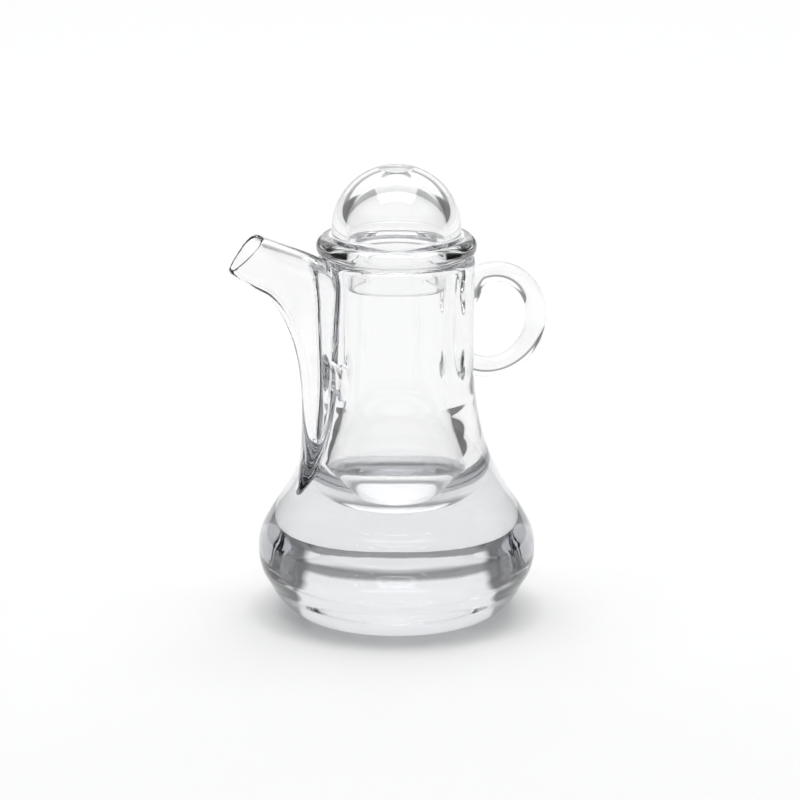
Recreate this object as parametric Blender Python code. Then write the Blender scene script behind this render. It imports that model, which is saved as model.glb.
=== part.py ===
"""A glass cruet: a heavy turned body with a beak spout and a ring handle, and a domed lid."""

import math

import bmesh
import bpy
from mathutils import Matrix, Vector

MM = 0.001

# The body stands on its foot at z = 0, with the turning axis on Z.
FOOT_RADIUS = 30.5 * MM
CREASE = (39.9 * MM, 10.2 * MM)
BELLY_RADIUS = 43.0 * MM
BELLY_HEIGHT = 20.0 * MM
NECK_RADIUS = 23.9 * MM
RIM_RADIUS = 24.3 * MM
RIM_HEIGHT = 113.2 * MM
RIM_ROUND = 1.6 * MM

# The cavity is a straight bore that opens into a bell-shaped well with a flat floor.
BORE_RADIUS = 15.5 * MM
WELL_RADIUS = 21.4 * MM
WELL_HEIGHT = 45.6 * MM
FLOOR_HEIGHT = 33.2 * MM

# The spout points between -X and -Y; the handle is opposite.
SPOUT_TURN = math.radians(180 + 24)
HANDLE_TURN = math.radians(24)
SPOUT_HOLE_HEIGHT = 77.0 * MM
SPOUT_HOLE_HALF = (2.3 * MM, 5.0 * MM)
SPOUT_HOLE_SLOPE = 0.5

HANDLE_CENTRE = 32.4 * MM
HANDLE_HEIGHT = 89.6 * MM
HANDLE_RADIUS = 15.2 * MM
HANDLE_STOCK = 3.2 * MM
PAD_REACH = 24.6 * MM
PAD_HEIGHT = 100.6 * MM
PAD_SIZE = (4.2 * MM, 3.0 * MM, 6.0 * MM)

# The lid: a hollow dome, ground off at its top, on a rolled flange, with a tube that
# hangs in the neck.
LID_GAP = 0.3 * MM
DOME_RADIUS = 20.0 * MM
DOME_HOLLOW = 15.5 * MM
DOME_CENTRE = 121.8 * MM
PONTIL_RADIUS = 5.6 * MM
PONTIL_DIP = 0.3 * MM
BEAD_RADIUS = 3.0 * MM
BEAD_REACH = 21.8 * MM
COLLAR_RADIUS = 15.0 * MM
COLLAR_BORE = 13.2 * MM
COLLAR_END = 104.5 * MM
LEDGE_LOW = 117.4 * MM
LEDGE_HIGH = 120.4 * MM

TURN_STEPS = 44
LOOP_POINTS = 20


def clear_scene():
    for thing in list(bpy.data.objects):
        bpy.data.objects.remove(thing, do_unlink=True)


def glass(name, colour):
    material = bpy.data.materials.new(name)
    material.use_nodes = True
    shader = material.node_tree.nodes["Principled BSDF"]
    shader.inputs["Base Color"].default_value = (*colour, 1.0)
    shader.inputs["Roughness"].default_value = 0.02
    shader.inputs["Metallic"].default_value = 0.0
    shader.inputs["Transmission Weight"].default_value = 1.0
    shader.inputs["IOR"].default_value = 1.5
    return material


def link(name, bm):
    bmesh.ops.remove_doubles(bm, verts=bm.verts, dist=1e-6)
    bmesh.ops.recalc_face_normals(bm, faces=bm.faces)
    mesh = bpy.data.meshes.new(name)
    bm.to_mesh(mesh)
    bm.free()
    mesh.shade_smooth()
    mesh.set_sharp_from_angle(angle=math.radians(40))
    thing = bpy.data.objects.new(name, mesh)
    bpy.context.scene.collection.objects.link(thing)
    return thing


def helper(thing):
    thing.hide_render = True
    thing.display_type = "WIRE"
    return thing


def cut_or_join(thing, other, operation):
    modifier = thing.modifiers.new(other.name, "BOOLEAN")
    modifier.operation = operation
    modifier.solver = "EXACT"
    modifier.object = helper(other)


def curve_through(stations, steps):
    """A smooth run of points through the stations, with the ends kept."""
    points = []
    padded = [stations[0], *stations, stations[-1]]
    for before, start, end, after in zip(padded, padded[1:], padded[2:], padded[3:]):
        for step in range(steps):
            t = step / steps
            points.append(
                tuple(
                    b
                    + 0.5 * t * (c - a)
                    + t * t * (a - 2.5 * b + 2 * c - 0.5 * d)
                    + t * t * t * (1.5 * (b - c) + 0.5 * (d - a))
                    for a, b, c, d in zip(before, start, end, after)
                )
            )
    points.append(tuple(stations[-1]))
    return points


def arc(centre, radius, start, end, steps):
    """Points of an arc in the (radius, height) plane, angles in degrees."""
    found = []
    for step in range(steps + 1):
        angle = math.radians(start + (end - start) * step / steps)
        found.append(
            (
                centre[0] + radius * math.cos(angle),
                centre[1] + radius * math.sin(angle),
            )
        )
    return found


def turned(name, profile):
    """A closed body turned about Z from a profile whose ends lie on the axis."""
    bm = bmesh.new()
    verts = [bm.verts.new((radius, 0.0, height)) for radius, height in profile]
    edges = [bm.edges.new(pair) for pair in zip(verts, verts[1:])]
    bmesh.ops.spin(
        bm,
        geom=verts + edges,
        axis=(0, 0, 1),
        cent=(0, 0, 0),
        angle=2 * math.pi,
        steps=TURN_STEPS,
        use_merge=True,
    )
    return link(name, bm)


def lofted(name, loops):
    """A closed body with one skin through the loops and a face on each end."""
    bm = bmesh.new()
    rings = [[bm.verts.new(point) for point in loop] for loop in loops]
    for first, second in zip(rings, rings[1:]):
        for k in range(len(first)):
            m = (k + 1) % len(first)
            bm.faces.new((first[k], first[m], second[m], second[k]))
    bm.faces.new(rings[0])
    bm.faces.new(rings[-1])
    return link(name, bm)


def outer_profile():
    """Foot, a faint crease low on the belly, then the flank up to the rim."""
    under = curve_through(
        [
            (FOOT_RADIUS, 0.0),
            (33.2 * MM, 1.7 * MM),
            (35.8 * MM, 4.0 * MM),
            (38.0 * MM, 6.8 * MM),
            CREASE,
        ],
        2,
    )
    flank = curve_through(
        [
            CREASE,
            (41.4 * MM, 12.6 * MM),
            (42.5 * MM, 15.8 * MM),
            (BELLY_RADIUS, BELLY_HEIGHT),
            (42.2 * MM, 25.6 * MM),
            (38.8 * MM, 32.2 * MM),
            (34.0 * MM, 39.7 * MM),
            (29.6 * MM, 48.4 * MM),
            (26.6 * MM, 57.2 * MM),
            (24.8 * MM, 66.2 * MM),
            (NECK_RADIUS, 76.0 * MM),
            (NECK_RADIUS, 92.0 * MM),
            (RIM_RADIUS, RIM_HEIGHT - RIM_ROUND),
        ],
        2,
    )
    rim = arc((RIM_RADIUS - RIM_ROUND, RIM_HEIGHT - RIM_ROUND), RIM_ROUND, 0, 90, 4)
    return [(0.0, 0.0), *under, *flank[1:], *rim[1:], (0.0, RIM_HEIGHT)]


def cavity_profile():
    wall = curve_through(
        [
            (12.0 * MM, FLOOR_HEIGHT),
            (14.6 * MM, FLOOR_HEIGHT + 0.1 * MM),
            (17.6 * MM, 34.8 * MM),
            (19.9 * MM, 38.2 * MM),
            (WELL_RADIUS, WELL_HEIGHT),
            (20.5 * MM, 50.0 * MM),
            (18.4 * MM, 56.8 * MM),
            (16.4 * MM, 64.6 * MM),
            (BORE_RADIUS, 73.0 * MM),
            (BORE_RADIUS, RIM_HEIGHT - RIM_ROUND),
        ],
        2,
    )
    lip = arc((BORE_RADIUS + RIM_ROUND, RIM_HEIGHT - RIM_ROUND), RIM_ROUND, 180, 90, 4)
    top = RIM_HEIGHT + 2 * MM
    return [
        (0.0, FLOOR_HEIGHT),
        *wall[:-1],
        *lip,
        (BORE_RADIUS + RIM_ROUND, top),
        (0.0, top),
    ]


# Spout stations from the mouth to the tail: the upper or inner end of the section
# (reach, height), its lower or outer end, its half width, its taper and its wall.
SPOUT_STATIONS = [
    ((45.6, 124.3), (55.8, 113.8), 4.6, 0.40, 1.3),
    ((36.6, 120.3), (49.6, 109.1), 6.0, 0.36, 1.3),
    ((29.0, 117.0), (43.4, 105.2), 7.4, 0.36, 1.5),
    ((23.4, 113.6), (39.0, 99.6), 8.0, 0.38, 1.8),
    ((19.6, 108.6), (36.0, 93.6), 7.6, 0.38, 2.0),
    ((19.0, 99.4), (33.8, 87.4), 6.9, 0.32, 2.2),
    ((19.0, 89.6), (32.3, 80.2), 6.2, 0.22, 2.3),
    ((19.4, 79.0), (31.5, 72.6), 5.7, 0.10, 2.3),
    ((19.8, 69.4), (31.4, 65.0), 5.4, 0.0, 2.6),
    ((20.8, 61.0), (31.6, 58.4), 5.0, 0.0, 3.3),
    ((23.0, 52.2), (32.2, 50.8), 4.2, 0.0, 4.0),
    ((26.6, 46.0), (32.9, 45.2), 2.8, 0.0, 4.0),
    ((30.4, 42.2), (33.6, 41.8), 1.2, 0.0, 4.0),
]
HOLLOW_STATIONS = 10


def section(inner, outer, half, taper, inset):
    """One spout section in metres, set back from the outside by inset."""
    inner = Vector((inner[0], 0.0, inner[1])) * MM
    outer = Vector((outer[0], 0.0, outer[1])) * MM
    centre = (inner + outer) / 2
    along = (outer - inner) / 2
    along *= max(1 - inset / along.length, 0.05)
    half = max(half * MM - 0.8 * inset, 0.1 * MM)
    loop = []
    for k in range(LOOP_POINTS):
        angle = 2 * math.pi * k / LOOP_POINTS
        c, s = math.cos(angle), math.sin(angle)
        c = math.copysign(abs(c) ** 0.85, c)
        s = math.copysign(abs(s) ** (1 - 0.8 * taper), s)
        loop.append(centre + along * c + Vector((0.0, half * s * (1 - taper * c), 0.0)))
    return loop


def spout_loops(stations, hollow):
    """Sections of the spout's outside, or of its channel where hollow is 1."""
    flat = [(*inner, *outer, *rest) for inner, outer, *rest in stations]
    turn = Matrix.Rotation(SPOUT_TURN, 3, "Z")
    loops = []
    for row in curve_through(flat, 2):
        loop = section(row[0:2], row[2:4], row[4], row[5], row[6] * MM * hollow)
        loops.append([turn @ point for point in loop])
    return loops


def spout_hollow():
    """The channel: the outside set back by the wall, run out past the mouth."""
    loops = spout_loops(SPOUT_STATIONS[:HOLLOW_STATIONS], 1)
    step = sum(loops[0], Vector()) / LOOP_POINTS - sum(loops[1], Vector()) / LOOP_POINTS
    beyond = [point + step.normalized() * 3 * MM for point in loops[0]]
    end = loops[-1]
    middle = sum(end, Vector()) / LOOP_POINTS
    tips = []
    for size, drop in ((0.75, 1.9), (0.3, 3.2)):
        down = Vector((0.0, 0.0, drop * MM))
        tips.append([middle + (point - middle) * size - down for point in end])
    return lofted("spout_hollow", [beyond, *loops, *tips])


def neck_core():
    """What the channel leaves standing: the neck's own wall."""
    profile = [
        (0.0, 40.0 * MM),
        (NECK_RADIUS, 40.0 * MM),
        (NECK_RADIUS, RIM_HEIGHT + 1 * MM),
        (0.0, RIM_HEIGHT + 1 * MM),
    ]
    return turned("neck_core", profile)


def spout_hole():
    """A sloping oval hole through the neck's wall, from the bore to the channel."""
    wide, tall = SPOUT_HOLE_HALF
    turn = Matrix.Rotation(SPOUT_TURN, 3, "Z")
    ends = []
    for reach in (12.0 * MM, 26.0 * MM):
        middle = SPOUT_HOLE_HEIGHT + (reach - 20.0 * MM) * SPOUT_HOLE_SLOPE
        loop = []
        for step in range(14):
            angle = 2 * math.pi * step / 14
            point = (reach, wide * math.cos(angle), middle + tall * math.sin(angle))
            loop.append(turn @ Vector(point))
        ends.append(loop)
    return lofted("spout_hole", ends)


def handle():
    bpy.ops.mesh.primitive_torus_add(
        major_segments=44,
        minor_segments=14,
        major_radius=HANDLE_RADIUS,
        minor_radius=HANDLE_STOCK,
    )
    ring = bpy.context.object
    ring.name = "handle"
    across = Vector((math.cos(HANDLE_TURN), math.sin(HANDLE_TURN), 0.0))
    place = Matrix.Translation(across * HANDLE_CENTRE + Vector((0, 0, HANDLE_HEIGHT)))
    place = place @ Matrix.Rotation(HANDLE_TURN, 4, "Z") @ Matrix.Rotation(math.pi / 2, 4, "X")
    ring.data.transform(place)
    ring.data.shade_smooth()
    return ring


def handle_pad():
    """The thick patch of glass where the ring's upper end is pressed to the neck."""
    bm = bmesh.new()
    bmesh.ops.create_uvsphere(bm, u_segments=18, v_segments=9, radius=1.0)
    across = Vector((math.cos(HANDLE_TURN), math.sin(HANDLE_TURN), 0.0))
    place = Matrix.Translation(across * PAD_REACH + Vector((0.0, 0.0, PAD_HEIGHT)))
    place = place @ Matrix.Rotation(HANDLE_TURN, 4, "Z") @ Matrix.Diagonal((*PAD_SIZE, 1.0))
    bmesh.ops.transform(bm, matrix=place, verts=bm.verts)
    return link("handle_pad", bm)


def body():
    thing = turned("cruet_body", outer_profile())
    cut_or_join(thing, lofted("spout", spout_loops(SPOUT_STATIONS, 0)), "UNION")
    cut_or_join(thing, handle(), "UNION")
    cut_or_join(thing, handle_pad(), "UNION")
    cut_or_join(thing, turned("cavity", cavity_profile()), "DIFFERENCE")
    hollow = spout_hollow()
    cut_or_join(hollow, neck_core(), "DIFFERENCE")
    cut_or_join(hollow, spout_hole(), "UNION")
    cut_or_join(thing, hollow, "DIFFERENCE")
    thing.data.materials.append(glass("body_glass", (0.97, 0.98, 0.98)))
    return thing


def lid():
    bead_height = RIM_HEIGHT + LID_GAP + BEAD_RADIUS
    lean = math.degrees(math.asin((bead_height + 2.4 * MM - DOME_CENTRE) / DOME_RADIUS))
    edge = math.degrees(math.acos(PONTIL_RADIUS / DOME_RADIUS))
    dome = arc((0.0, DOME_CENTRE), DOME_RADIUS, edge, lean, 10)
    dip = dome[0][1] - PONTIL_DIP
    bead = arc((BEAD_REACH, bead_height), BEAD_RADIUS, 125, -90, 10)
    hollow = arc((0.0, DOME_CENTRE), DOME_HOLLOW, -5, 90, 8)
    underside = bead_height - BEAD_RADIUS
    profile = [
        (0.0, dip),
        (0.6 * PONTIL_RADIUS, dip),
        *dome,
        *bead,
        (COLLAR_RADIUS, underside),
        (COLLAR_RADIUS, COLLAR_END + 0.5 * MM),
        (COLLAR_RADIUS - 0.5 * MM, COLLAR_END),
        (COLLAR_BORE + 0.5 * MM, COLLAR_END),
        (COLLAR_BORE, COLLAR_END + 0.5 * MM),
        (COLLAR_BORE, LEDGE_LOW),
        (DOME_HOLLOW - 0.7 * MM, LEDGE_HIGH - 1 * MM),
        *hollow[:-1],
        (0.0, DOME_CENTRE + DOME_HOLLOW),
    ]
    thing = turned("cruet_lid", profile)
    thing.data.materials.append(glass("lid_glass", (0.97, 0.98, 0.98)))
    return thing


def main():
    clear_scene()
    body()
    lid()


main()
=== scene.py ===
"""A glass cruet in thick clear glass: turned body, beak spout, ring handle and domed lid."""

import math

import bpy
import numpy as np
import openvdb
from mathutils import Matrix, Vector

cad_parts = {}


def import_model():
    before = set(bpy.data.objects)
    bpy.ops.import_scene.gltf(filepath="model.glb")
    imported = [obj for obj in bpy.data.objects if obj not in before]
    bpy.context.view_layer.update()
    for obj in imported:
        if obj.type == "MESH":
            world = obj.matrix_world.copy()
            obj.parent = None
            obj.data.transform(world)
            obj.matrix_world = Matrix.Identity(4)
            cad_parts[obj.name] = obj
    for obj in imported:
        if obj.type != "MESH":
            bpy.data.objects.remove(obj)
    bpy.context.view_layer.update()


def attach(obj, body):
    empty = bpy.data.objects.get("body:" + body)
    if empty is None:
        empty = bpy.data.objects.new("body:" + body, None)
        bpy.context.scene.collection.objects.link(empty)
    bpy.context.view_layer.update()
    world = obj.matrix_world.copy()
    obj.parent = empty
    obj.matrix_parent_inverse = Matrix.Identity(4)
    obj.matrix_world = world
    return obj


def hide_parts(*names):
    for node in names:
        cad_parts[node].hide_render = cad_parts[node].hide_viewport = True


MM = 0.001

# ---- Sizes in millimetres, angles in degrees ------------------------------------
# Finished meshes are scaled to metres.

# Body: the outside, from the foot to the rim.
FOOT_RADIUS = 30.5
CREASE = (39.9, 10.2)
RIM_HEIGHT = 113.2
RIM_RADIUS = 24.3
RIM_ROUND = 1.6
NECK_RADIUS = 23.9
NECK_LOW = 40.0

# Cavity: a narrow bore above a bell-shaped well with a flat floor.
BORE_RADIUS = 15.5
WELL_RADIUS = 21.4
WELL_HEIGHT = 45.6
FLOOR_HEIGHT = 33.2

# Hole from the bore to the spout's channel; the slope is its rise per millimetre outwards.
SPOUT_TURN = math.radians(180 + 24)
HOLE_MIDDLE = 77.0
HOLE_HALF_HEIGHT = 5.0
HOLE_HALF_WIDTH = 2.3
HOLE_SLOPE = 0.5
HOLE_REACH = (12.0, 27.0)
HOLE_LEVEL_REACH = 20.0

# Ring handle, and the pad of glass at its upper end.
HANDLE_TURN = math.radians(24)
HANDLE_CENTRE = 32.4
HANDLE_HEIGHT = 89.6
HANDLE_RADIUS = 15.2
HANDLE_STOCK = 3.2
PAD_REACH = 24.6
PAD_HEIGHT = 100.6
PAD_SIZE = (4.2, 3.0, 6.0)

# Lid: hollow dome, rolled bead, and a tube that hangs in the bore.
LID_GAP = 0.3
DOME_RADIUS = 20.0
DOME_HOLLOW = 15.5
DOME_CENTRE = 121.8
PONTIL_RADIUS = 5.6
PONTIL_DIP = 0.3
BEAD_RADIUS = 3.0
BEAD_REACH = 21.8
COLLAR_RADIUS = 15.0
COLLAR_BORE = 13.2
COLLAR_END = 104.5
COLLAR_ROUND = 0.9
LEDGE_LOW = 117.4
LEDGE_HIGH = 120.4

# How far the corners between melted shapes are filled.
PAD_FILLET = 2.0
HANDLE_FILLET = 1.6
SPOUT_FILLET = 2.4
CHANNEL_EDGE = 0.5
HOLE_EDGE = 1.2
MOUTH_EDGE = 0.4

# The grid for melting: its cell, the cells kept on each side of a surface, its two
# corners, and how far flat stretches of the result may be joined into larger faces.
GRAIN = 0.5
BAND = 6
MELT_LOW = (-56, -48, -4)
MELT_HIGH = (52, 48, 129)
JOINING = 0.002

# ---- Looks ----------------------------------------------------------------------

GLASS_TINT = (0.7, 0.71, 0.735, 1.0)
GLASS_DEPTH = 10.0
WAVE_SCALE = 45.0
WAVE_STRENGTH = 0.02

# The tent glows behind the piece inside a window, with a soft edge between two bearings
# off straight back. The bend widens the window with height. The window is darker below
# the horizon, whose two heights are sines, and the sides are darker below their rise.
BACK_GLOW = 1.08
SIDE_GLOW = 0.68
WINDOW = (29, 22)
BEND = 0.4
HORIZON = (0.105, 0.138)
HORIZON_SHADE = 0.66
SIDE_RISE = (15, 30)
SIDE_SHADE = 0.76

SOFTBOX_GLOW = 3.0
BACKDROP_GLOW = 0.6
FLOOR_WHITE = 0.62
FLOOR_DROP = 0.05
FLOOR_METRES = 3.2

# The view: a square image, the eye far off, and what the eye aims at, all in pixels.
PIXEL = 0.31
IMAGE = 800
EYE_PIXELS = 6300
LOOK_DOWN = 15.5
FOOT_ROW = 608.7
AIM_ACROSS = 3.5
SENSOR = 36


class Wire:
    """A socket that takes part in plain arithmetic; each operator adds its Math node."""

    def __init__(self, bench, socket):
        self.bench = bench
        self.socket = socket

    def maths(self, operation, *values):
        return self.bench.add("ShaderNodeMath", {"operation": operation}, *values)

    def alone(self, operation):
        """An operation that takes this value only."""
        return self.maths(operation, self)

    def __add__(self, other):
        return self.maths("ADD", self, other)

    def __sub__(self, other):
        return self.maths("SUBTRACT", self, other)

    def __rsub__(self, other):
        return self.maths("SUBTRACT", other, self)

    def __mul__(self, other):
        return self.maths("MULTIPLY", self, other)

    def __rmul__(self, other):
        return self.maths("MULTIPLY", other, self)

    def __truediv__(self, other):
        return self.maths("DIVIDE", self, other)

    def __pow__(self, other):
        return self.maths("POWER", self, other)


class Bench:
    """Adds nodes to one tree."""

    def __init__(self, tree):
        self.tree = tree

    def add(self, kind, settings, *values, out=0, **named):
        node = self.tree.nodes.new(kind)
        for name, value in settings.items():
            setattr(node, name, value)
        sockets = list(zip(node.inputs, values))
        sockets += [(node.inputs[name.replace("_", " ")], v) for name, v in named.items()]
        for socket, value in sockets:
            if isinstance(value, Wire):
                self.tree.links.new(value.socket, socket)
            elif value is not None:
                socket.default_value = value
        return Wire(self, node.outputs[out]) if len(node.outputs) else None

    def ease(self, value, low, high):
        """0 below low and 1 above high, with a soft step between."""
        return self.add(
            "ShaderNodeMapRange",
            {"interpolation_type": "SMOOTHSTEP"},
            value,
            From_Min=low,
            From_Max=high,
        )

    def split(self, vector):
        """The three components of a vector."""
        node = self.tree.nodes.new("ShaderNodeSeparateXYZ")
        self.tree.links.new(vector.socket, node.inputs[0])
        return [Wire(self, socket) for socket in node.outputs]


def bench_of(owner):
    """A cleared bench on the nodes of a material or world."""
    owner.use_nodes = True
    owner.node_tree.nodes.clear()
    return Bench(owner.node_tree)


# ---- Turned pieces --------------------------------------------------------------


def wheel_tree():
    """Turns a profile curve, drawn in the XZ plane, about Z."""
    tree = bpy.data.node_groups.new("turn the profile", "GeometryNodeTree")
    tree.interface.new_socket("Geometry", in_out="INPUT", socket_type="NodeSocketGeometry")
    tree.interface.new_socket("Steps Round", in_out="INPUT", socket_type="NodeSocketInt")
    tree.interface.new_socket("Glass", in_out="INPUT", socket_type="NodeSocketMaterial")
    tree.interface.new_socket("Geometry", in_out="OUTPUT", socket_type="NodeSocketGeometry")
    bench = Bench(tree)
    given = tree.nodes.new("NodeGroupInput")
    profile, round_steps, glass = (Wire(bench, given.outputs[k]) for k in range(3))
    size = bench.add("GeometryNodeAttributeDomainSize", {"component": "CURVE"}, profile)
    grid = bench.add("GeometryNodeMeshGrid", {}, 1.0, 1.0, round_steps + 1.0, size)
    place = bench.add("GeometryNodeInputPosition", {})
    across, along, _ = bench.split(place)
    angle = (across + 0.5) * (2 * math.pi)
    row = ((along + 0.5) * (size - 1.0)).alone("ROUND")
    at = bench.add(
        "GeometryNodeSampleIndex",
        {"data_type": "FLOAT_VECTOR", "domain": "POINT"},
        profile,
        Value=place,
        Index=row,
    )
    radius, _, height = bench.split(at)
    across, along = radius * angle.alone("COSINE"), radius * angle.alone("SINE")
    spot = bench.add("ShaderNodeCombineXYZ", {}, across, along, height)
    moved = bench.add("GeometryNodeSetPosition", {}, grid, Position=spot)
    closed = bench.add("GeometryNodeMergeByDistance", {}, moved, Distance=1e-5)
    real = bench.add("GeometryNodeRealizeInstances", {}, closed)
    done = bench.add("GeometryNodeSetMaterial", {}, real, Material=glass)
    out = tree.nodes.new("NodeGroupOutput")
    tree.links.new(done.socket, out.inputs[0])
    return tree


def turned(name, profile, steps, glass):
    """A mesh turned from (radius, height) points, by the wheel tree."""
    curve = bpy.data.curves.new(name, "CURVE")
    curve.dimensions = "3D"
    spline = curve.splines.new("POLY")
    spline.points.add(len(profile) - 1)
    for point, (radius, height) in zip(spline.points, profile):
        point.co = (radius, 0.0, height, 1.0)
    line = link(bpy.data.objects.new(name + "_profile", curve))
    tree = bpy.data.node_groups.get("turn the profile") or wheel_tree()
    modifier = line.modifiers.new("wheel", "NODES")
    modifier.node_group = tree
    sockets = {item.name: item.identifier for item in tree.interface.items_tree}
    modifier[sockets["Steps Round"]] = steps
    modifier[sockets["Glass"]] = glass
    graph = bpy.context.evaluated_depsgraph_get()
    mesh = bpy.data.meshes.new_from_object(line.evaluated_get(graph))
    bpy.data.objects.remove(line)
    mesh.name = name
    if faces_inwards(mesh):
        mesh.flip_normals()
    return mesh


def triangles_of(mesh):
    """The mesh's points, and its faces as rows of three point numbers."""
    points = np.empty(len(mesh.vertices) * 3, np.float32)
    mesh.vertices.foreach_get("co", points)
    mesh.calc_loop_triangles()
    triangles = np.empty(len(mesh.loop_triangles) * 3, np.int32)
    mesh.loop_triangles.foreach_get("vertices", triangles)
    return points.reshape(-1, 3), triangles.reshape(-1, 3)


def faces_inwards(mesh):
    """True where the faces point inwards, which makes the enclosed volume negative."""
    points, triangles = triangles_of(mesh)
    return np.linalg.det(points[triangles]).sum() < 0


def between(a, b, c, d, t):
    """A smooth way from b, at t = 0, to c, at t = 1, coming from a and going on to d."""
    bend = a - 2.5 * b + 2 * c - 0.5 * d
    twist = 1.5 * (b - c) + 0.5 * (d - a)
    return b + 0.5 * t * (c - a) + t * t * bend + t * t * t * twist


def curve_through(stations, steps):
    """A smooth run of points through the stations, with the ends kept."""
    points = []
    padded = [stations[0], *stations, stations[-1]]
    for stretch in zip(padded, padded[1:], padded[2:], padded[3:]):
        for step in range(steps):
            points.append(tuple(between(*four, step / steps) for four in zip(*stretch)))
    points.append(tuple(stations[-1]))
    return points


def arc(centre, radius, start, end, steps):
    """Points of an arc in the (radius, height) plane, angles in degrees."""
    turns = [math.radians(start + (end - start) * k / steps) for k in range(steps + 1)]
    return [(centre[0] + radius * math.cos(t), centre[1] + radius * math.sin(t)) for t in turns]


def outer_profile():
    """Foot, a faint crease low on the belly, then the flank up to the rim."""
    under = curve_through(
        [(FOOT_RADIUS, 0.0), (33.2, 1.7), (35.8, 4.0), (38.0, 6.8), CREASE],
        24,
    )
    flank = curve_through(
        [
            CREASE,
            (41.4, 12.6),
            (42.5, 15.8),
            (43.0, 20.0),
            (42.2, 25.6),
            (38.8, 32.2),
            (34.0, 39.7),
            (29.6, 48.4),
            (26.6, 57.2),
            (24.8, 66.2),
            (NECK_RADIUS, 76.0),
            (NECK_RADIUS, 92.0),
            (RIM_RADIUS, RIM_HEIGHT - RIM_ROUND),
        ],
        24,
    )
    rim = arc((RIM_RADIUS - RIM_ROUND, RIM_HEIGHT - RIM_ROUND), RIM_ROUND, 0, 90, 12)
    return [(0.0, 0.0), *under, *flank[1:], *rim[1:], (0.0, RIM_HEIGHT)]


def cavity_profile():
    """Flat floor, bell-shaped well and bore, run out past the rim with a rounded lip."""
    wall = curve_through(
        [
            (12.0, FLOOR_HEIGHT),
            (14.6, FLOOR_HEIGHT + 0.1),
            (17.6, 34.8),
            (19.9, 38.2),
            (WELL_RADIUS, WELL_HEIGHT),
            (20.5, 50.0),
            (18.4, 56.8),
            (16.4, 64.6),
            (BORE_RADIUS, 73.0),
            (BORE_RADIUS, RIM_HEIGHT - RIM_ROUND),
        ],
        16,
    )
    lip = arc((BORE_RADIUS + RIM_ROUND, RIM_HEIGHT - RIM_ROUND), RIM_ROUND, 180, 90, 12)
    top = RIM_HEIGHT + 2
    return [
        (0.0, FLOOR_HEIGHT),
        *wall[:-1],
        *lip,
        (BORE_RADIUS + RIM_ROUND, top),
        (0.0, top),
    ]


def lid_profile():
    """Down the outside of the dome, round the bead and the tube, and up the hollow."""
    bead_height = RIM_HEIGHT + LID_GAP + BEAD_RADIUS
    lean = math.degrees(math.asin((bead_height + 2.4 - DOME_CENTRE) / DOME_RADIUS))
    edge = math.degrees(math.acos(PONTIL_RADIUS / DOME_RADIUS))
    dome = arc((0.0, DOME_CENTRE), DOME_RADIUS, edge, lean, 80)
    dip = dome[0][1] - PONTIL_DIP
    bead = arc((BEAD_REACH, bead_height), BEAD_RADIUS, 125, -90, 40)
    hollow = arc((0.0, DOME_CENTRE), DOME_HOLLOW, -5, 90, 70)
    underside = bead_height - BEAD_RADIUS
    wall_middle = 0.5 * (COLLAR_RADIUS + COLLAR_BORE)
    foot = arc((wall_middle, COLLAR_END + COLLAR_ROUND), COLLAR_ROUND, 0, -180, 16)
    return [
        (0.0, dip),
        (0.55 * PONTIL_RADIUS, dip),
        (0.7 * PONTIL_RADIUS, dip + 0.06),
        (0.88 * PONTIL_RADIUS, dip + 0.22),
        *dome,
        *bead,
        (COLLAR_RADIUS + 1.0, underside),
        (COLLAR_RADIUS + 0.3, underside - 0.3),
        (COLLAR_RADIUS, underside - 1.0),
        *foot,
        (COLLAR_BORE, LEDGE_LOW - 0.6),
        (COLLAR_BORE + 0.4, LEDGE_LOW + 0.2),
        (DOME_HOLLOW - 1.0, LEDGE_HIGH - 1.6),
        (DOME_HOLLOW - 0.4, LEDGE_HIGH - 0.8),
        *hollow[:-1],
        (0.0, DOME_CENTRE + DOME_HOLLOW),
    ]


# ---- Spout and handle -----------------------------------------------------------

# Spout stations from the mouth to the tail: the upper or inner end of the section
# (reach, height), its lower or outer end, its half width, its taper and its wall.
SPOUT_STATIONS = [
    ((45.6, 124.3), (55.8, 113.8), 4.6, 0.40, 1.3),
    ((36.6, 120.3), (49.6, 109.1), 6.0, 0.36, 1.3),
    ((29.0, 117.0), (43.4, 105.2), 7.4, 0.36, 1.5),
    ((23.4, 113.6), (39.0, 99.6), 8.0, 0.38, 1.8),
    ((19.6, 108.6), (36.0, 93.6), 7.6, 0.38, 2.0),
    ((19.0, 99.4), (33.8, 87.4), 6.9, 0.32, 2.2),
    ((19.0, 89.6), (32.3, 80.2), 6.2, 0.22, 2.3),
    ((19.4, 79.0), (31.5, 72.6), 5.7, 0.1, 2.3),
    ((19.8, 69.4), (31.4, 65.0), 5.4, 0.0, 2.6),
    ((20.8, 61.0), (31.6, 58.4), 5.0, 0.0, 3.3),
    ((23.0, 52.2), (32.2, 50.8), 4.2, 0.0, 4.0),
    ((26.6, 46.0), (32.9, 45.2), 2.8, 0.0, 4.0),
    ((30.4, 42.2), (33.6, 41.8), 1.2, 0.0, 4.0),
]

# A section is an ellipse with fuller ends (1 is a plain ellipse) and, where it tapers,
# sharper sides. The channel's side walls are a share of the wall at its ends.
SECTION_FULLNESS = 0.85
SIDE_SHARPNESS = 0.8
SIDE_WALL = 0.8

# The channel follows the first stations, starts beyond the mouth, and closes at its
# lower end with smaller and smaller sections: their size and how far they drop.
CHANNEL_STATIONS = 10
CHANNEL_BEYOND = 3
CHANNEL_TIP = ((0.93, 0.9), (0.75, 1.9), (0.5, 2.8), (0.25, 3.2))

UP = np.array([0.0, 0.0, 1.0])


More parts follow.
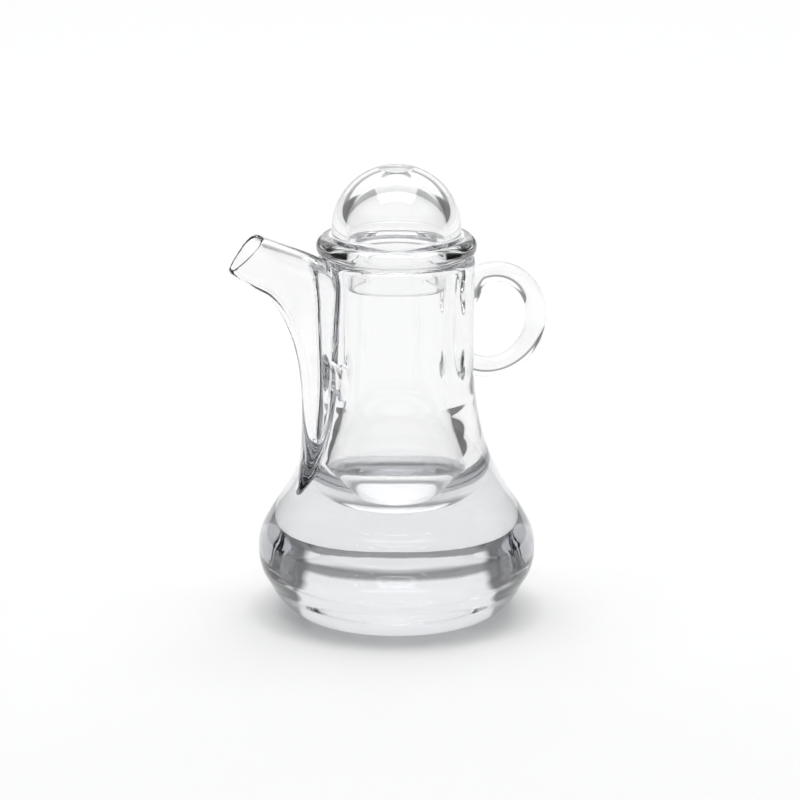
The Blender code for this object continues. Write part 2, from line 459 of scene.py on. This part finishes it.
def directions(turn):
    """Unit vectors straight out from the axis at this turn, and to the left of that."""
    c, s = math.cos(turn), math.sin(turn)
    return np.array([c, s, 0.0]), np.array([-s, c, 0.0])


def round_turns(count):
    """The angles of so many points round a circle."""
    return 2 * np.pi * np.arange(count) / count


def spout_loops(hollow=False):
    """Sections of the spout's outside, or of its channel, set back by the wall."""
    stations = SPOUT_STATIONS[:CHANNEL_STATIONS] if hollow else SPOUT_STATIONS
    rows = [(*inner, *outer, *others) for inner, outer, *others in stations]
    turns = round_turns(96)
    c, s = np.cos(turns), np.sin(turns)
    c = np.sign(c) * np.abs(c) ** SECTION_FULLNESS
    ahead, aside = directions(SPOUT_TURN)
    loops = []
    for r0, z0, r1, z1, half, taper, wall in curve_through(rows, 12):
        inset = wall if hollow else 0.0
        half_depth = math.hypot(r1 - r0, z1 - z0) / 2
        fit = max(1 - inset / half_depth, 0.05)
        reach = (r0 + r1) / 2 + c * (r1 - r0) / 2 * fit
        height = (z0 + z1) / 2 + c * (z1 - z0) / 2 * fit
        edge = np.sign(s) * np.abs(s) ** (1 - SIDE_SHARPNESS * taper)
        across = edge * (1 - taper * c) * max(half - inset * SIDE_WALL, 0.1)
        loops.append(np.outer(reach, ahead) + np.outer(across, aside) + np.outer(height, UP))
    return loops


def channel_loops():
    """The hollow inside the spout, run out past the mouth and closed at its lower end."""
    loops = spout_loops(hollow=True)
    step = loops[0].mean(0) - loops[1].mean(0)
    beyond = loops[0] + step / np.linalg.norm(step) * CHANNEL_BEYOND
    end = loops[-1]
    middle = end.mean(0)
    tip = [middle + (end - middle) * size - UP * drop for size, drop in CHANNEL_TIP]
    return [beyond, *loops, *tip]


def hole_loops():
    """A sloping oval hole through the neck's wall, from the bore to the channel."""
    turns = round_turns(48)
    ahead, aside = directions(SPOUT_TURN)
    across = HOLE_HALF_WIDTH * np.cos(turns)
    loops = []
    for reach in np.linspace(*HOLE_REACH, 16):
        middle = HOLE_MIDDLE + (reach - HOLE_LEVEL_REACH) * HOLE_SLOPE
        height = middle + HOLE_HALF_HEIGHT * np.sin(turns)
        loops.append(ahead * reach + np.outer(across, aside) + np.outer(height, UP))
    return loops


def handle_loops():
    """The ring, as closed loops round its stock."""
    ahead, aside = directions(HANDLE_TURN)
    turns = round_turns(64)
    loops = []
    for a in round_turns(192):
        out = ahead * math.cos(a) + UP * math.sin(a)
        centre = ahead * HANDLE_CENTRE + UP * HANDLE_HEIGHT + out * HANDLE_RADIUS
        stock = np.outer(np.cos(turns), out) + np.outer(np.sin(turns), aside)
        loops.append(centre + HANDLE_STOCK * stock)
    return loops


def pad_loops():
    """The thick patch of glass where the ring's upper end is pressed to the neck."""
    ahead, aside = directions(HANDLE_TURN)
    centre = ahead * PAD_REACH + UP * PAD_HEIGHT
    deep, wide, tall = PAD_SIZE
    turns = round_turns(48)
    oval = np.outer(np.cos(turns) * deep, ahead) + np.outer(np.sin(turns) * wide, aside)
    return [
        centre + oval * math.cos(a) + UP * math.sin(a) * tall
        for a in np.radians(np.linspace(-88, 88, 30))
    ]


def skin(loops, ring=False):
    """Points and quads through the loops; the ends are closed unless it is a ring."""
    count, size = len(loops), len(loops[0])
    points = np.concatenate(loops)
    index = np.arange(count * size).reshape(count, size)
    here, there = (index, np.roll(index, -1, 0)) if ring else (index[:-1], index[1:])
    quads = np.stack([here, np.roll(here, -1, 1), np.roll(there, -1, 1), there], -1)
    quads = quads.reshape(-1, 4)
    if ring:
        return points, np.zeros((0, 3), int), quads
    points = np.concatenate([points, [loops[0].mean(0)], [loops[-1].mean(0)]])
    first, last = index[0], index[-1]
    middle = np.full(size, count * size)
    low = np.stack([middle, np.roll(first, -1), first], -1)
    high = np.stack([middle + 1, last, np.roll(last, -1)], -1)
    return points, np.concatenate([low, high]), quads


# ---- Melting shapes together ----------------------------------------------------


class Melt:
    """Signed distances, in millimetres, on one grid round the body."""

    def __init__(self, low, high):
        self.low = np.floor(np.array(low) / GRAIN).astype(int)
        self.size = np.ceil(np.array(high) / GRAIN).astype(int) - self.low
        self.scale = openvdb.createLinearTransform(voxelSize=GRAIN)

    def field(self, points, triangles, quads):
        """The distance to these faces in every cell, negative inside them."""
        grid = openvdb.FloatGrid.createLevelSetFromPolygons(
            points.astype(np.float32),
            triangles=triangles.astype(np.uint32),
            quads=quads.astype(np.uint32),
            transform=self.scale,
            halfWidth=float(BAND),
        )
        values = np.zeros(self.size, np.float32)
        grid.copyToArray(values, ijk=tuple(int(v) for v in self.low))
        return values

    def of_mesh(self, mesh):
        return self.field(*triangles_of(mesh), np.zeros((0, 4), int))

    def skin_of(self, values):
        """Points, triangles, quads and outward normals of the zero surface."""
        grid = openvdb.FloatGrid(float(values.max()))
        grid.copyFromArray(values, ijk=tuple(int(v) for v in self.low))
        grid.transform = self.scale
        points, triangles, quads = grid.convertToPolygons(isovalue=0.0, adaptivity=JOINING)
        slopes = [slope.astype(np.float32) for slope in np.gradient(values, GRAIN)]
        for _ in range(3):
            depth = self.read(values, points)
            normal = np.stack([self.read(slope, points) for slope in slopes], -1)
            normal /= np.maximum(np.linalg.norm(normal, axis=1, keepdims=True), 1e-6)
            points = points - normal * np.clip(depth, -GRAIN / 2, GRAIN / 2)[:, None]
        return points, triangles, quads, normal

    def read(self, values, points):
        """The grid's value at each point, between its eight neighbours."""
        spot = points / GRAIN - self.low
        corner = np.clip(np.floor(spot).astype(int), 0, np.array(values.shape) - 2)
        share = spot - corner
        total = np.zeros(len(points))
        for step in np.ndindex(2, 2, 2):
            weight = np.where(step, share, 1 - share).prod(1)
            total += weight * values[tuple((corner + step).T)]
        return total


def fuse(a, b, fillet):
    """Both shapes, with the corner between them filled."""
    blend = np.clip(0.5 + 0.5 * (b - a) / fillet, 0, 1)
    return b * (1 - blend) + a * blend - fillet * blend * (1 - blend)


def cut(a, b, fillet):
    """The first shape without the second, with the cut's edges rounded."""
    return -fuse(-a, b, fillet)


def link(thing):
    bpy.context.scene.collection.objects.link(thing)
    return thing


def object_of(name, points, triangles, quads, normal, glass):
    """A smooth object of these faces, in metres."""
    mesh = bpy.data.meshes.new(name)
    mesh.from_pydata((points * MM).tolist(), [], triangles.tolist() + quads.tolist())
    mesh.materials.append(glass)
    mesh.shade_smooth()
    mesh.validate()
    mesh.normals_split_custom_set_from_vertices(normal.tolist())
    return link(bpy.data.objects.new(name, mesh))


def neck_profile():
    """A plain drum that keeps the spout's channel out of the neck's wall."""
    top = RIM_HEIGHT + 1
    return [(0.0, NECK_LOW), (NECK_RADIUS, NECK_LOW), (NECK_RADIUS, top), (0.0, top)]


def body(glass):
    """Body, spout and handle fused; cavity, hole and channel cut out of them as one."""
    melt = Melt(MELT_LOW, MELT_HIGH)
    outer = melt.of_mesh(turned("outer", outer_profile(), 512, glass))
    cavity = melt.of_mesh(turned("cavity", cavity_profile(), 384, glass))
    neck = melt.of_mesh(turned("neck", neck_profile(), 512, glass))
    spout = melt.field(*skin(spout_loops()))
    hollow = melt.field(*skin(channel_loops()))
    hole = melt.field(*skin(hole_loops()))
    ring = melt.field(*skin(handle_loops(), ring=True))
    pad = melt.field(*skin(pad_loops()))
    handle = fuse(ring, pad, PAD_FILLET)
    solid = fuse(fuse(outer, handle, HANDLE_FILLET), spout, SPOUT_FILLET)
    channel = cut(hollow, neck, CHANNEL_EDGE)
    air = fuse(fuse(cavity, hole, HOLE_EDGE), channel, HOLE_EDGE)
    return object_of("glass_body", *melt.skin_of(cut(solid, air, MOUTH_EDGE)), glass)


def lid(glass):
    mesh = turned("glass_lid", lid_profile(), 160, glass)
    mesh.transform(Matrix.Scale(MM, 4))
    mesh.shade_smooth()
    mesh.set_sharp_from_angle(angle=math.radians(50))
    return link(bpy.data.objects.new("glass_lid", mesh))


# ---- Glass ----------------------------------------------------------------------


def clear_glass(name, seed):
    """Clear pressed and hand-finished glass with a faint waviness."""
    material = bpy.data.materials.new(name)
    bench = bench_of(material)
    place = bench.add("ShaderNodeTexCoord", {}, out=3)
    shifted = bench.add("ShaderNodeVectorMath", {"operation": "ADD"}, place, (seed, 0.0, 0.0))
    swell = bench.add("ShaderNodeTexNoise", {}, shifted, Scale=WAVE_SCALE, Detail=1.0)
    wave = bench.add("ShaderNodeBump", {}, Strength=WAVE_STRENGTH, Distance=2 * MM, Height=swell)
    shader = bench.add(
        "ShaderNodeBsdfPrincipled",
        {},
        Base_Color=(1.0, 1.0, 1.0, 1.0),
        Roughness=0.0,
        IOR=1.5,
        Transmission_Weight=1.0,
        Normal=wave,
    )
    depth = bench.add("ShaderNodeVolumeAbsorption", {}, GLASS_TINT, GLASS_DEPTH)
    bench.add("ShaderNodeOutputMaterial", {}, shader, depth)
    return material


# ---- Floor, light and camera ----------------------------------------------------


def floor():
    """A pale round table, a hair below the foot."""
    below = (0, 0, -FLOOR_DROP * MM)
    bpy.ops.mesh.primitive_circle_add(
        vertices=96, radius=FLOOR_METRES, fill_type="NGON", location=below
    )
    table = bpy.context.object
    table.name = "floor"
    material = bpy.data.materials.new("pale floor")
    bench = bench_of(material)
    shader = bench.add(
        "ShaderNodeBsdfPrincipled",
        {},
        Base_Color=(FLOOR_WHITE, FLOOR_WHITE, FLOOR_WHITE, 1.0),
        Roughness=0.9,
        Specular_IOR_Level=0.1,
    )
    bench.add("ShaderNodeOutputMaterial", {}, shader)
    table.data.materials.append(material)


def tent():
    """An even glow, brightest behind the piece and dark low down at the sides."""
    world = bpy.data.worlds.new("tent")
    bpy.context.scene.world = world
    bench = bench_of(world)
    towards = bench.add("ShaderNodeTexCoord", {}, out=0)
    _, y, z = bench.split(towards)
    level = (1.0001 - z * z) ** 0.5
    facing = y / level + BEND * z
    behind = bench.ease(facing, *(math.cos(math.radians(bearing)) for bearing in WINDOW))
    low = 1 - bench.ease(z, *(math.sin(math.radians(rise)) for rise in SIDE_RISE))
    horizon = 1 - bench.ease(z, *HORIZON)
    back = BACK_GLOW - BACK_GLOW * HORIZON_SHADE * horizon
    sides = SIDE_GLOW - SIDE_GLOW * SIDE_SHADE * low
    glow = back * behind + sides * (1 - behind)
    tint = bench.add("ShaderNodeCombineColor", {}, glow * 0.99, glow * 0.995, glow)
    light = bench.add("ShaderNodeBackground", {}, tint, 1.0)
    bench.add("ShaderNodeOutputWorld", {}, light)


def softbox(name, place, size, strength):
    """A rectangular soft light that shines straight down."""
    lamp = bpy.data.lights.new(name, "AREA")
    lamp.shape = "RECTANGLE"
    lamp.size, lamp.size_y = size
    lamp.energy = strength * lamp.size * lamp.size_y * 4
    box = link(bpy.data.objects.new(name, lamp))
    box.location = place
    return box


def studio():
    """The tent and two soft lights; the one at the back lights the table only."""
    tent()
    softbox("overhead softbox", (0.0, 0.3, 2.4), (2.6, 2.0), SOFTBOX_GLOW)
    behind = softbox("backdrop softbox", (0.0, 3.2, 2.4), (4.0, 2.4), BACKDROP_GLOW)
    behind.visible_transmission = behind.visible_glossy = False


def camera():
    """Far away and long, looking down on the piece."""
    pixel = PIXEL * MM
    lens = bpy.data.cameras.new("camera")
    lens.sensor_width = SENSOR
    lens.lens = SENSOR * EYE_PIXELS / IMAGE
    lens.clip_start = 0.05
    lens.clip_end = 50
    eye = link(bpy.data.objects.new("camera", lens))
    bpy.context.scene.camera = eye
    tilt = math.radians(LOOK_DOWN)
    aim = Vector((AIM_ACROSS * pixel, 0.0, (FOOT_ROW - IMAGE / 2) / math.cos(tilt) * pixel))
    eye.location = aim + Vector((0.0, -math.cos(tilt), math.sin(tilt))) * EYE_PIXELS * pixel
    eye.rotation_euler = (aim - eye.location).to_track_quat("-Z", "Y").to_euler()


def light_paths():
    """Enough bounces for light to cross the glass walls."""
    scene = bpy.context.scene
    scene.view_settings.view_transform = "Standard"
    scene.cycles.max_bounces = 24
    scene.cycles.transmission_bounces = 24
    scene.cycles.glossy_bounces = 8
    scene.cycles.diffuse_bounces = 4
    scene.cycles.sample_clamp_indirect = 10.0
    scene.cycles.blur_glossy = 0.0


def main():
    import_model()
    light_paths()
    floor()
    studio()
    camera()
    vessel = body(clear_glass("body glass", 0.0))
    cover = lid(clear_glass("lid glass", 3.0))
    for piece, node in ((vessel, "cruet_body"), (cover, "cruet_lid")):
        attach(piece, "root")
        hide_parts(node)


main()
